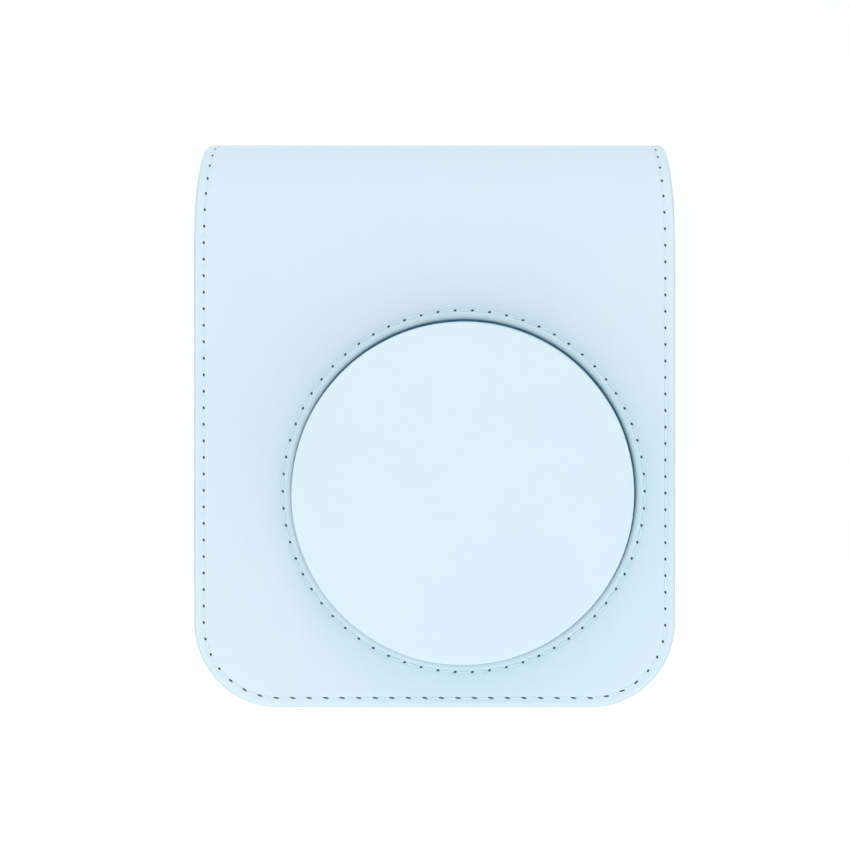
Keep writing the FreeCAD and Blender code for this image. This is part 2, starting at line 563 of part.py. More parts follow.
# --- shutter button and electrics ------------------------------------------------------------------
def button_parts():
    rear_y = CAM_Y0 + SHELL + 0.3
    cap = rod_y(BUTTON_X, BUTTON_Z, BUTTON_R, CAM_Y0 - 0.5, rear_y)
    rim = [e for e in cap.Edges if abs(e.BoundBox.YMax - CAM_Y0 + 0.5) < 1e-4]
    flange = rod_y(BUTTON_X, BUTTON_Z, BUTTON_R + 1.2, rear_y, rear_y + 0.8)
    wire, coil_r, turns = 0.25, 4.0, 3
    length = SWITCH_Y - rear_y - 0.8 - 2 * wire
    helix = Part.makeHelix(length / turns, length, coil_r)
    corners = [V(coil_r + i * wire, 0, k * wire) for i, k in ((-1, -1), (1, -1), (1, 1), (-1, 1), (-1, -1))]
    spring = Part.Wire(helix).makePipeShell([Part.makePolygon(corners)], True, True)
    spring.rotate(V(0, 0, 0), V(1, 0, 0), -90)
    spring.translate(V(BUTTON_X, rear_y + 0.8 + wire, BUTTON_Z))
    return {"shutter_button": cap.makeFillet(0.4, rim).fuse(flange).removeSplitter(), "button_spring": spring}


def electric_parts():
    x0, x1, y0, y1 = FLASH_X[0] + 1, FLASH_X[1] - 1, CAM_Y0 + SHELL, -4
    z0, z1 = FLASH_Z[0] + 1, FLASH_Z[1] - 1
    z_mid = (z0 + z1) / 2
    tube = rod_x(y0 + 2.6, z_mid, 1.2, x0 + 0.6, x1 - 0.6)
    trough = rod_x(y0, z_mid, 5.5, x0 + 1.2, x1 - 1.2)
    cap_z = CELL_Z1 + 1.4
    cells = [rod_z(CELL_X, y, CELL_R, CELL_Z0, CELL_Z1).fuse(rod_z(CELL_X, y, 2.6, CELL_Z1, cap_z))
             for y in CELL_YS]
    tray_x = CELL_X + CELL_R + 0.2
    hollow = box(-60, tray_x, -60, 60, CELL_Z0 - 0.1, cap_z + 0.1)
    tray = box(CELL_X - 8.2, tray_x + 1, -5, CAM_Y1 - SHELL, CELL_Z0 - 1.6, cap_z + 1.4).cut(hollow)
    return {
        "flash_window": flash_tile(0.05, CAM_Y0 + 0.2, CAM_Y0 + 1.0),
        "flash_reflector": box(x0, x1, y0, y1, z0, z1).cut(trough).cut(tube),
        "flash_tube": tube,
        "circuit_board": box(-38, 24, -1, 0.6, 93, 121),
        "flash_capacitor": rod_x(6, 84, 5.6, -48, -24),
        "batteries": compound(cells),
        "battery_tray": tray,
    }


os.makedirs("parts", exist_ok=True)
for build in (front_cover, lens_cup, rear_half, strap_rings, body_parts, finder_parts, lens_parts,
              film_and_drive, button_parts, electric_parts):
    for name, shape in build().items():
        shape.exportStep("parts/" + name + ".step")
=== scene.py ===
import json
import math
from bisect import bisect_left

import bmesh
import bpy
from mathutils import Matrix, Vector, noise


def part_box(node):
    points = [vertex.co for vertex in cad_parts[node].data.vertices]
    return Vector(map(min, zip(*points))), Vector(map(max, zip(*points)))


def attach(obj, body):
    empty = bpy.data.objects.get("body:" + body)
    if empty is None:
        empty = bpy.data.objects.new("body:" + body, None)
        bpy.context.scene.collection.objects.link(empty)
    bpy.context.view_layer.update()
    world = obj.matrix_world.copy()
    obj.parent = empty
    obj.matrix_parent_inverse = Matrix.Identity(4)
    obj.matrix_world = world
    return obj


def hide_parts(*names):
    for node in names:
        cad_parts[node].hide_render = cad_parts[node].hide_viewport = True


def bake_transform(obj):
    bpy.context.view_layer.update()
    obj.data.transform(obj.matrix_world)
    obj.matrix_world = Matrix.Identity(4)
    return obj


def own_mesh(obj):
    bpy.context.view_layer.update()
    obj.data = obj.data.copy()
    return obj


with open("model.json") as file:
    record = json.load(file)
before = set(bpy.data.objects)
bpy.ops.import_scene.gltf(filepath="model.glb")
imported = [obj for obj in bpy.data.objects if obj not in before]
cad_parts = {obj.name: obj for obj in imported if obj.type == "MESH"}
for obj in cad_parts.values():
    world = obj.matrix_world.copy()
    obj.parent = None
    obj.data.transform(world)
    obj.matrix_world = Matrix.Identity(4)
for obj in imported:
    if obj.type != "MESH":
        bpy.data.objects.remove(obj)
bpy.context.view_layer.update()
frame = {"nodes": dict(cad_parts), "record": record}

MM = 0.001
nodes = frame["nodes"]

# --- places read from the frame ---------------------------------------------------------------------
cover_lo, cover_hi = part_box("cover_skin")
band_lo, band_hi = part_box("band_skin")
back_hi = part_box("back_skin")[1]
face_lo, face_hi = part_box("cup_face_skin")
lip_lo, lip_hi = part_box("rear_lip")
HALF = cover_hi.x                        # half the case's width
TOP = cover_hi.z
FRONT = cover_lo.y
CUP = Vector(((face_lo.x + face_hi.x) / 2, 0, (face_lo.z + face_hi.z) / 2))
WALL = 2.4 * MM                          # a panel: skin, board and lining
FOLD_R = 16 * MM                         # roll of the cover over the top
CORNER_R = 19.8 * MM
SIDE_TOP = TOP - FOLD_R - 4 * MM         # where the sides bend inward
HOLE_R = 40.0 * MM                       # hole in the cover that the lens cup stands in
STITCH_IN = 2.35 * MM                    # stitch line, from a panel's edge
STITCH_PITCH = 3.84 * MM
RING_IN, RING_PITCH = 2.06 * MM, 4.0 * MM   # the same, round the lens cup
FOLD_V = TOP - FOLD_R                    # where the fold starts on the cover laid flat
FLAP_V = FOLD_V + FOLD_R * math.pi / 2   # and where it ends in the top flap
LINING_IN = 3 * MM                       # a lining stops this far inside its panel's edge

ROOT, COVER = "case_and_camera", "front_cover"


# --- outlines ---------------------------------------------------------------------------------------
def rounded_path(corners, closed=True, step=0.9 * MM):
    """Points along straight runs joined by arcs. corners: (u, v, radius), anticlockwise when closed."""
    def arc_points(a, b, c, r):
        a, b, c = (Vector(p) for p in (a, b, c))
        d0, d1 = (a - b).normalized(), (c - b).normalized()
        half = d0.angle(d1) / 2
        centre = b + (d0 + d1).normalized() * (r / math.sin(half))
        start = b + d0 * (r / math.tan(half))
        sweep = (math.pi - 2 * half) * (-1 if d0.x * d1.y - d0.y * d1.x > 0 else 1)
        count = max(2, round(abs(sweep) * r / step))
        spoke = start - centre
        turns = [sweep * i / count for i in range(count + 1)]
        return [centre + Vector((spoke.x * math.cos(t) - spoke.y * math.sin(t),
                                 spoke.x * math.sin(t) + spoke.y * math.cos(t))) for t in turns]

    rough = []
    n = len(corners)
    for i, (u, v, r) in enumerate(corners):
        if r == 0 or (not closed and i in (0, n - 1)):
            rough.append(Vector((u, v)))
            continue
        before, after = corners[i - 1][:2], corners[(i + 1) % n][:2]
        rough += arc_points(before, (u, v), after, r)
    points = []
    last = len(rough) if closed else len(rough) - 1
    for i in range(last):
        a, b = rough[i], rough[(i + 1) % len(rough)]
        count = max(1, round((b - a).length / step))
        points += [a.lerp(b, k / count) for k in range(count)]
    return points if closed else points + [rough[-1]]


def circle_path(u, v, r, step=0.9 * MM):
    count = round(2 * math.pi * r / step)
    return [Vector((u + r * math.cos(2 * math.pi * i / count), v + r * math.sin(2 * math.pi * i / count)))
            for i in range(count)]


def side_normals(path, closed=True):
    """Unit normals to the right of the path's direction: outward on an anticlockwise loop."""
    n = len(path)
    normals = []
    for i in range(n):
        a = path[i - 1] if closed or i > 0 else path[0]
        b = path[(i + 1) % n] if closed or i < n - 1 else path[-1]
        d = (b - a).normalized()
        normals.append(Vector((d.y, -d.x)))
    return normals


def inset_path(path, distance, closed=True):
    return [p - m * distance for p, m in zip(path, side_normals(path, closed))]


def mirrored_corners(right):
    """A closed outline's corners from those of its right half, listed from bottom to top."""
    return right + [(-u, v, r) for u, v, r in reversed(right)]


def cover_corners():
    """The front cover laid flat: up the front, over the fold and along the top flap."""
    reach = cover_hi.y - (FRONT + FOLD_R)
    return mirrored_corners([
        (HALF, 0, CORNER_R), (HALF, SIDE_TOP, 200 * MM), (54 * MM, FLAP_V, 100 * MM),
        (51.5 * MM, FLAP_V + reach / 2, 60 * MM), (48.6 * MM, FLAP_V + reach, 8 * MM)])


def back_corners():
    return mirrored_corners([
        (HALF, 0, CORNER_R), (HALF, SIDE_TOP, 50 * MM), (54.8 * MM, back_hi.z, 14 * MM)])


# --- where a flat panel goes ------------------------------------------------------------------------
def on_cover(u, v, depth):
    """Front, fold and flap of the cover; depth is measured inward from its outer face."""
    bend = (v - FOLD_V) / FOLD_R
    if bend <= 0:
        return Vector((u, FRONT + depth, v))
    if bend >= math.pi / 2:
        return Vector((u, FRONT + FOLD_R + (v - FLAP_V), TOP - depth))
    r = FOLD_R - depth
    return Vector((u, FRONT + FOLD_R - r * math.cos(bend), FOLD_V + r * math.sin(bend)))


def on_back(u, v, depth):
    return Vector((-u, back_hi.y - depth, v))


class BandPlace:
    """The band round the sides and the bottom: u runs along it from the left top, v from front to rear."""

    def __init__(self):
        top = band_hi.z
        shoulder = 55.1 * MM
        self.path = rounded_path([(-shoulder, top, 0), (-HALF, SIDE_TOP, 120 * MM), (-HALF, 0, CORNER_R),
                                  (HALF, 0, CORNER_R), (HALF, SIDE_TOP, 120 * MM), (shoulder, top, 0)],
                                 closed=False, step=0.7 * MM)
        self.normals = side_normals(self.path, closed=False)
        self.at = [0.0]
        for a, b in zip(self.path, self.path[1:]):
            self.at.append(self.at[-1] + (b - a).length)
        self.length = self.at[-1]

    def place(self, u, v, depth):
        u = min(max(u, 0), self.length)
        i = min(max(1, bisect_left(self.at, u)), len(self.at) - 1)
        t = (u - self.at[i - 1]) / (self.at[i] - self.at[i - 1])
        p = self.path[i - 1].lerp(self.path[i], t)
        m = self.normals[i - 1].lerp(self.normals[i], t).normalized()
        p = p - m * depth
        return Vector((p.x, band_lo.y + v, p.y))

    def bend_lines(self, step):
        """Places along u where the bent stretches are cut, so they stay round."""
        lines, since = [], 0
        for i in range(1, len(self.at)):
            since += self.at[i] - self.at[i - 1]
            turning = self.normals[i].dot(self.normals[i - 1]) < 0.9999
            if since >= (step if turning else 12 * MM):
                lines.append(self.at[i])
                since = 0
        return lines


band = BandPlace()


# --- panels -----------------------------------------------------------------------------------------
# (inset from the edge, depth under the outer face) in mm, from the face over the turned edge to the back
TURNED_EDGE = ((4.2, 0), (3.4, 0.02), (2.9, 0.07), (2.6, 0.15), (2.35, 0.2), (2.1, 0.15), (1.8, 0.06),
               (1.3, 0.0), (0.8, 0.05), (0.4, 0.2), (0.13, 0.48), (0, 0.9), (0, 1.55), (0.13, 1.95),
               (0.42, 2.25), (0.9, 2.38), (3.2, 2.4))
RING_EDGE = tuple((inset * RING_IN / STITCH_IN, depth) for inset, depth in TURNED_EDGE)
HOLE_EDGE = ((1.6, 0), (1.0, 0.03), (0.5, 0.16), (0.15, 0.45), (0, 0.9), (0, 1.55), (0.15, 2.0), (0.5, 2.3),
             (0.9, 2.38), (1.6, 2.4))
LINING_EDGE = ((0.9, 2.5), (0.5, 2.5), (0.2, 2.44), (0, 2.32), (0, 2.1), (0.9, 2.1))
GROOVE = 0.2 * MM                        # how deep the stitching pulls the leather down
RIPPLE = 0.1 * MM                        # how far the face of a large panel rises and falls
RIPPLES = 30                             # ripples in a metre
FLAT_EDGE = 2.5                          # mm from a panel's edge that stay flat


def smooth_step(x):
    """0 below 0, 1 above 1, and a smooth rise between."""
    x = min(max(x, 0), 1)
    return x * x * (3 - 2 * x)


def cut_lines(low, high, step, fine=()):
    """Evenly spaced places between two limits, and closer ones over each (low, high, step) in fine."""
    lines = [low + step * (i + 1) for i in range(int((high - low) / step))]
    for a, b, fine_step in fine:
        lines += [a + fine_step * i for i in range(int((b - a) / fine_step) + 1)]
    return sorted(lines)


def panel_mesh(name, outline, place, profile=TURNED_EDGE, holes=(), cuts=((), ()), ripple=0.0):
    """A sheet with turned edges. Vertices are made flat, as (u, depth, v), and then put in place."""
    bm = bmesh.new()
    edge_layer = bm.verts.layers.float.new("edge")
    ends = []
    for path, sign, edge in [(outline, 1, profile)] + [(hole, -1, edge) for hole, edge in holes]:
        rings = []
        for inset, depth in edge:
            ring = [bm.verts.new((p.x, depth * MM, p.y)) for p in inset_path(path, inset * MM * sign)]
            for v in ring:
                v[edge_layer] = inset
            rings.append(ring)
        for a, b in zip(rings, rings[1:]):
            for i in range(len(a)):
                j = (i + 1) % len(a)
                bm.faces.new((a[i], a[j], b[j], b[i]))
        ends.append((rings[0], rings[-1]))
    for side in (0, 1):
        rim = []
        for pair in ends:
            ring = pair[side]
            rim += [bm.edges.get((ring[i - 1], ring[i])) for i in range(len(ring))]
        geom = bmesh.ops.triangle_fill(bm, use_beauty=True, edges=rim)["geom"]
        faces = [g for g in geom if isinstance(g, bmesh.types.BMFace)]
        edges = [e for f in faces for e in f.edges]
        verts = [v for f in faces for v in f.verts]
        geom = list(dict.fromkeys(faces + edges + verts))     # each once, and in the same order every run
        for axis, lines in zip(((1, 0, 0), (0, 0, 1)), cuts):
            for line in lines:
                co = Vector(axis) * line
                geom = bmesh.ops.bisect_plane(bm, geom=geom, dist=1e-6, plane_co=co, plane_no=axis)["geom"]
    for vert in bm.verts:
        u, depth, v = vert.co
        if ripple and depth < WALL / 2:
            swell = noise.noise(Vector((u * RIPPLES, v * RIPPLES, 1.7)))
            depth += ripple * (swell * smooth_step((vert[edge_layer] - FLAT_EDGE) / 3) + 0.6)
        vert.co = place(u, v, depth)
    bmesh.ops.recalc_face_normals(bm, faces=bm.faces)
    return as_object(name, bm)


def as_object(name, bm):
    """Turns the bmesh into a smooth-shaded object in the scene."""
    for f in bm.faces:
        f.smooth = True
    mesh = bpy.data.meshes.new(name)
    bm.to_mesh(mesh)
    bm.free()
    obj = bpy.data.objects.new(name, mesh)
    bpy.context.scene.collection.objects.link(obj)
    return obj


def dress(obj, material, body, replaced=()):
    """Gives a new piece its material, its body and the CAD nodes it stands for."""
    if material:
        obj.data.materials.append(material)
    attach(obj, body)
    if replaced:
        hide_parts(*replaced)
    return obj


# --- stitching --------------------------------------------------------------------------------------
class Walk:
    """Walks a flat path by distance."""

    def __init__(self, path, closed):
        self.path = path + path[:1] if closed else path
        self.at = [0.0]
        for a, b in zip(self.path, self.path[1:]):
            self.at.append(self.at[-1] + (b - a).length)
        self.length = self.at[-1]
        self.closed = closed

    def point(self, s):
        s = s % self.length if self.closed else min(max(s, 0), self.length)
        i = min(max(1, bisect_left(self.at, s)), len(self.at) - 1)
        return self.path[i - 1].lerp(self.path[i], (s - self.at[i - 1]) / (self.at[i] - self.at[i - 1]))


TUBE_WIDTH = 1.2                         # a thread or wire's width over its height
HOLE_POINTS = 12                         # points round a needle hole
HOLE_SLANT = math.radians(20)            # its lean across the stitch line
HOLE_FLOOR = 0.03 * MM                   # its rim lies this far above the groove, and its middle half as far
THREAD_POINTS = 9                        # places along one visible stitch
THREAD_GAP = 0.75 * MM                   # from one stitch's end to the next one's start
THREAD_SAG = 0.14 * MM                   # how far a stitch's ends dip below its middle


def add_tube(bm, centres, ups, radii, sides=7):
    """A closed tube through centres; ups are the outward directions and radii the half-thickness at each."""
    rings = []
    for i, (c, up, r) in enumerate(zip(centres, ups, radii)):
        along = (centres[min(i + 1, len(centres) - 1)] - centres[max(i - 1, 0)]).normalized()
        side = along.cross(up).normalized()
        ring = []
        for k in range(sides):
            t = 2 * math.pi * k / sides
            ring.append(bm.verts.new(c + side * (TUBE_WIDTH * r * math.cos(t)) + up * (r * math.sin(t))))
        rings.append(ring)
    for a, b in zip(rings, rings[1:]):
        for k in range(sides):
            bm.faces.new((a[k - 1], a[k], b[k], b[k - 1]))
    bm.faces.new(rings[0])
    bm.faces.new(rings[-1])


def add_needle_hole_shade(bm, walk, s, place, floor):
    """A dark patch painted as the shade in the hole where the thread goes in; along the lowest edge it is
    longer and leans the other way, as painted shadow of the thread.
    """
    nearby = 0.3 * MM
    middle = walk.point(s)
    along = (walk.point(s + nearby) - walk.point(s - nearby)).normalized()
    across = Vector((-along.y, along.x))
    low = smooth_step((9 * MM - middle.y) / (5 * MM))
    half_long, half_short = (0.35 + 0.33 * low) * MM, (0.25 - 0.07 * low) * MM
    slant = HOLE_SLANT * (1 - 1.4 * low)
    long_axis = along * math.cos(slant) + across * math.sin(slant)
    short_axis = Vector((-long_axis.y, long_axis.x))
    # the dark patch is painted shade in the hole; lower down it is drawn longer as painted shadow of the
    # thread
    rim = []
    for k in range(HOLE_POINTS):
        t = 2 * math.pi * k / HOLE_POINTS
        w = middle + long_axis * (half_long * math.cos(t)) + short_axis * (half_short * math.sin(t))
        rim.append(bm.verts.new(place(w.x, w.y, floor - HOLE_FLOOR)))
    hub = bm.verts.new(place(middle.x, middle.y, floor - HOLE_FLOOR / 2))
    for k in range(HOLE_POINTS):
        bm.faces.new((rim[k - 1], rim[k], hub)).material_index = 1


def stitching(name, path, closed, place, body, depth=GROOVE, pitch=STITCH_PITCH):
    """Thread, and dark patches painted as the shade in its needle holes, along a flat path. One object with
    two materials.
    """
    bm = bmesh.new()
    walk = Walk(path, closed)
    count = max(1, round(walk.length / pitch))
    pitch = walk.length / count
    thread = pitch - THREAD_GAP
    for i in range(count + (0 if closed else 1)):
        add_needle_hole_shade(bm, walk, i * pitch, place, depth)
        if i == count:
            break
        centres, ups, radii = [], [], []
        for k in range(THREAD_POINTS):
            t = k / (THREAD_POINTS - 1)
            p = walk.point((i + 0.5) * pitch + (t - 0.5) * thread)
            arch = math.sin(math.pi * t) ** 0.5
            centres.append(place(p.x, p.y, depth + THREAD_SAG * (1 - arch)))
            ups.append((place(p.x, p.y, 0) - place(p.x, p.y, 1 * MM)).normalized())
            radii.append((0.08 + 0.09 * arch) * MM)
        add_tube(bm, centres, ups, radii)
    bmesh.ops.recalc_face_normals(bm, faces=[f for f in bm.faces if f.material_index == 0])
    obj = as_object(name, bm)
    obj.data.materials.append(THREAD)
    obj.data.materials.append(NEEDLE_HOLE_SHADE)
    return dress(obj, None, body)


# --- materials --------------------------------------------------------------------------------------
class Shader:
    """A material made of nodes, ending in one Principled shader."""

    def __init__(self, name, **sockets):
        self.material = bpy.data.materials.new(name)
        self.material.use_nodes = True
        self.tree = self.material.node_tree
        self.bsdf = next(n for n in self.tree.nodes if n.type == "BSDF_PRINCIPLED")
        self.coords = self.node("ShaderNodeTexCoord").outputs["Object"]
        for socket, value in sockets.items():
            self.put(self.bsdf.inputs[socket.replace("_", " ")], value)

    def put(self, socket, value):
        if isinstance(value, bpy.types.NodeSocket):
            self.tree.links.new(value, socket)
        else:
            socket.default_value = value

    def node(self, kind, settings=None, **sockets):
        node = self.tree.nodes.new(kind)
        for key, value in (settings or {}).items():
            setattr(node, key, value)
        for socket, value in sockets.items():
            self.put(node.inputs[socket.replace("_", " ")], value)
        return node

    def noise(self, scale, detail=3, roughness=0.5):
        node = self.node("ShaderNodeTexNoise", Vector=self.coords, Scale=scale, Detail=detail,
                         Roughness=roughness)
        return node.outputs["Fac"]

    def cells(self, scale, feature="F1"):
        node = self.node("ShaderNodeTexVoronoi", {"feature": feature}, Vector=self.coords, Scale=scale)
        return node.outputs["Distance"]

    def remap(self, value, low, high, to_low=0.0, to_high=1.0):
        node = self.node("ShaderNodeMapRange", Value=value, From_Min=low, From_Max=high,
                         To_Min=to_low, To_Max=to_high)
        return node.outputs["Result"]

    def math(self, operation, a, b):
        node = self.node("ShaderNodeMath", {"operation": operation})
        self.put(node.inputs[0], a)
        self.put(node.inputs[1], b)
        return node.outputs[0]

    def mix(self, factor, a, b):
        node = self.node("ShaderNodeMix", {"data_type": "RGBA"})
        self.put(node.inputs[0], factor)
        self.put(node.inputs[6], a if isinstance(a, bpy.types.NodeSocket) else (*a, 1))
        self.put(node.inputs[7], b if isinstance(b, bpy.types.NodeSocket) else (*b, 1))
        return node.outputs[2]

    def bump(self, height, strength, distance, normal=None):
        node = self.node("ShaderNodeBump", Height=height, Strength=strength, Distance=distance)
        if normal:
            self.put(node.inputs["Normal"], normal)
        return node.outputs["Normal"]

    def attribute(self, name):
        return self.node("ShaderNodeAttribute", {"attribute_name": name}).outputs["Fac"]

    def finish(self, base, roughness, normal=None):
        """Plugs the last of the nodes in and gives back the material."""
        self.put(self.bsdf.inputs["Base Color"], base)
        self.put(self.bsdf.inputs["Roughness"], roughness)
        if normal:
            self.put(self.bsdf.inputs["Normal"], normal)
        return self.material


def shade(colour, factor):
    return tuple(c * factor for c in colour)


SKY, SKY_COOL = (0.60, 0.722, 0.78), (0.57, 0.712, 0.79)
EDGE_WEAR_AND_SHADE = (0.42, 0.51, 0.54)                # leather's turned edges: partly wear, partly painted shade where the edge turns away from the light


def leather(name, colour, cool, roughness=0.46, worn_and_shaded_edges=True):
    """Smooth, faintly grained leather, with soft changes of tint and greyer turned edges: partly wear, partly
    painted shade where the leather turns away from the light.
    """
    s = Shader(name, Specular_IOR_Level=0.4)
    tint = s.remap(s.noise(17, 2), 0.35, 0.65)
    body = s.mix(tint, colour, cool)
    cloud = s.remap(s.noise(60, 3), 0.3, 0.7, 0, 0.35)
    body = s.mix(cloud, body, shade(cool, 0.975))
    if worn_and_shaded_edges:
        # the outermost turned edge is mixed towards a greyer colour: rubbed wear together with painted shade
        # of the edge turning away from the light
        near_edge = s.remap(s.attribute("edge"), 0.05, 0.6, 1.0, 0)
        rubbed_and_shaded = s.math("MULTIPLY", near_edge, s.remap(s.noise(240, 2), 0.3, 0.7, 0.6, 1))
        body = s.mix(rubbed_and_shaded, body, EDGE_WEAR_AND_SHADE)
    grain = s.bump(s.cells(1500), 0.25, 0.00006)
    pores = s.bump(s.noise(2600, 2), 0.2, 0.00004, grain)
    roughness = s.remap(s.noise(300, 3), 0.3, 0.7, roughness - 0.05, roughness + 0.06)
    return s.finish(body, roughness, s.bump(s.noise(90, 2), 0.25, 0.0002, pores))


def suede(name, colour):
    """Short-napped lining cloth."""
    s = Shader(name, Sheen_Weight=0.35, Sheen_Roughness=0.5, Specular_IOR_Level=0.15)
    patches = s.remap(s.noise(90, 4), 0.3, 0.7)
    fibres = s.remap(s.noise(4200, 2), 0.35, 0.65)
    base = s.mix(fibres, s.mix(patches, shade(colour, 0.9), colour), shade(colour, 1.08))
    return s.finish(base, s.remap(patches, 0, 1, 0.86, 0.97), s.bump(s.noise(3600, 3), 0.5, 0.00008))


def plastic(name, colour, roughness=0.32, texture=0.06, scale=1800):
    """Moulded plastic with a fine spark-eroded texture."""
    s = Shader(name, Specular_IOR_Level=0.5)
    base = s.mix(s.remap(s.noise(45, 3), 0.3, 0.7), colour, shade(colour, 0.94))
    roughness = s.remap(s.noise(500, 3), 0.3, 0.7, roughness - 0.05, roughness + 0.07)
    return s.finish(base, roughness, s.bump(s.noise(scale, 2), texture, 0.00001))


def metal(name, colour, roughness, stretch=(1, 1, 1), scratches=0.1):
    """Plated or brushed metal: fine marks drawn out along one axis."""
    s = Shader(name, Metallic=1.0)
    drawn = s.node("ShaderNodeMapping", Vector=s.coords, Scale=stretch).outputs["Vector"]
    marks = s.node("ShaderNodeTexNoise", Vector=drawn, Scale=900, Detail=3).outputs["Fac"]
    base = s.mix(s.remap(marks, 0.35, 0.65), colour, shade(colour, 0.9))
    roughness = s.remap(marks, 0.3, 0.7, roughness * 0.7, roughness * 1.4)
    return s.finish(base, roughness, s.bump(marks, scratches, 0.00002))


def clear(name, colour, roughness=0.03):
    """Glass or clear film, with the faint smears a handled window has."""
    s = Shader(name, Transmission_Weight=1.0, IOR=1.49)
    smears = s.remap(s.noise(120, 4), 0.4, 0.7)
    base = s.mix(smears, colour, shade(colour, 0.97))
    return s.finish(base, s.remap(smears, 0, 1, roughness, roughness + 0.05))


def coated_glass(name):
    """Lens glass with the violet and green of its coating."""
    s = Shader(name, IOR=1.6, Coat_Weight=1.0, Coat_Roughness=0.02, Specular_IOR_Level=0.7)
    coating = s.remap(s.noise(55, 1), 0.35, 0.65)
    base = s.mix(coating, (0.012, 0.02, 0.035), (0.06, 0.025, 0.09))
    return s.finish(base, s.remap(s.noise(60, 2), 0.3, 0.7, 0.02, 0.06))


def matte(name, colour):
    """Rubber, or paint with no shine."""
    s = Shader(name, Specular_IOR_Level=0.3)
    base = s.mix(s.remap(s.noise(400, 3), 0.3, 0.7), colour, shade(colour, 1.6))
    roughness = s.remap(s.noise(700, 3), 0.3, 0.7, 0.7, 0.85)
    return s.finish(base, roughness, s.bump(s.noise(2500, 3), 0.4, 0.00005))


def grey_board(name):
    """Pressed fibre board, seen only in an edge or a hole."""
    s = Shader(name, Specular_IOR_Level=0.15)
    fibres = s.remap(s.noise(1500, 5, 0.7), 0.35, 0.65)
    base = s.mix(fibres, (0.42, 0.40, 0.36), (0.55, 0.53, 0.48))
    return s.finish(base, s.remap(fibres, 0, 1, 0.85, 0.95), s.bump(fibres, 0.4, 0.00005))


def foam(name):
    """Open-celled padding."""
    s = Shader(name, Specular_IOR_Level=0.1)
    pores = s.cells(1300)
    base = s.mix(s.remap(pores, 0, 0.6), (0.6, 0.6, 0.58), (0.86, 0.86, 0.84))
    return s.finish(base, s.remap(pores, 0, 1, 0.9, 1.0), s.bump(pores, 0.6, 0.0002))


def circuit(name):
    """Lacquered board with copper tracks under the lacquer."""
    s = Shader(name, Coat_Weight=0.4, Coat_Roughness=0.1)
    tracks = s.node("ShaderNodeTexBrick", {"offset": 0.37}, Vector=s.coords, Scale=180, Mortar_Size=0.05,
                    Color1=(0, 0, 0, 1), Color2=(0.1, 0.1, 0.1, 1), Mortar=(1, 1, 1, 1)).outputs["Color"]
    base = s.mix(tracks, (0.012, 0.11, 0.05), (0.05, 0.26, 0.12))
    return s.finish(base, s.remap(s.noise(300, 2), 0.3, 0.7, 0.3, 0.42), s.bump(tracks, 0.3, 0.00004))


def banded_wrap(name, colour, band_colour, low, high):
    """A battery's or capacitor's printed sleeve: plain, with one band between two heights."""
    s = Shader(name, Coat_Weight=0.3, Coat_Roughness=0.15)
    height = s.node("ShaderNodeSeparateXYZ", Vector=s.coords).outputs["Z"]
    inside = s.math("MULTIPLY", s.math("GREATER_THAN", height, low), s.math("LESS_THAN", height, high))
    base = s.mix(s.remap(s.noise(60, 2), 0.3, 0.7), colour, shade(colour, 0.85))
    return s.finish(s.mix(inside, base, band_colour), s.remap(s.noise(200, 2), 0.3, 0.7, 0.28, 0.4))


def thread(name, colour):
    """Twisted sewing thread."""
    s = Shader(name, Sheen_Weight=0.2, Specular_IOR_Level=0.3)
    twist = s.node("ShaderNodeTexWave", {"bands_direction": "DIAGONAL"}, Vector=s.coords, Scale=1500,
                   Distortion=1.0).outputs["Fac"]
    base = s.mix(twist, shade(colour, 0.94), colour)
    return s.finish(base, s.remap(twist, 0, 1, 0.6, 0.75), s.bump(twist, 0.3, 0.00003))


LEATHER = leather("leather_pale_blue", SKY, SKY_COOL)
CUP_LEATHER = leather("leather_lens_cup", SKY, SKY_COOL, 0.42, worn_and_shaded_edges=False)
SUEDE = suede("lining_suede", (0.44, 0.60, 0.70))
THREAD = thread("sewing_thread", (0.64, 0.79, 0.85))
# a dark colour painted as the shade inside the needle holes
NEEDLE_HOLE_SHADE = matte("needle_hole_painted_shade", (0.016, 0.05, 0.075))
SHELL = plastic("camera_shell", (0.50, 0.74, 0.85), 0.28)
WHITE = plastic("white_plastic", (0.80, 0.82, 0.83), 0.3)
BLACK = plastic("black_plastic", (0.018, 0.019, 0.022), 0.42, 0.15)
CHROME = metal("plated_metal", (0.78, 0.79, 0.81), 0.12, (1, 1, 6))
STEEL = metal("brushed_steel", (0.60, 0.61, 0.63), 0.3, (0.1, 1, 1), 0.25)
SLOT_MATERIALS = {
    "leather": LEATHER, "leather_rim": CUP_LEATHER, "lining": SUEDE, "board": grey_board("fibre_board"),
    # the edge_paint slot gets a navy colour painted as the shadow in the narrow gap round the lens cup
    "edge_paint": matte("seam_gap_painted_shade", (0.05, 0.14, 0.22)), "padding": foam("padding_foam"),
    "magnet": STEEL, "ring_metal": CHROME, "steel": STEEL,
    "clear_film": clear("clear_window", (0.95, 0.97, 0.98)), "optic_glass": coated_glass("coated_lens"),
    "shell_plastic": SHELL, "white_plastic": WHITE, "dark_plastic": BLACK,
    "silver": metal("mirror_silver", (0.9, 0.91, 0.92), 0.03, scratches=0.02),
    "roller_rubber": matte("roller_rubber", (0.035, 0.035, 0.038)), "board_green": circuit("circuit_board"),
    "cell_wrap": banded_wrap("cell_sleeve", (0.05, 0.055, 0.06), (0.55, 0.42, 0.16), 0.055, 0.07),
    "film_base": plastic("film_gloss", (0.012, 0.012, 0.014), 0.12, 0.05),
    "sensor_dark": plastic("sensor_window", (0.01, 0.01, 0.018), 0.08, 0.02),
}


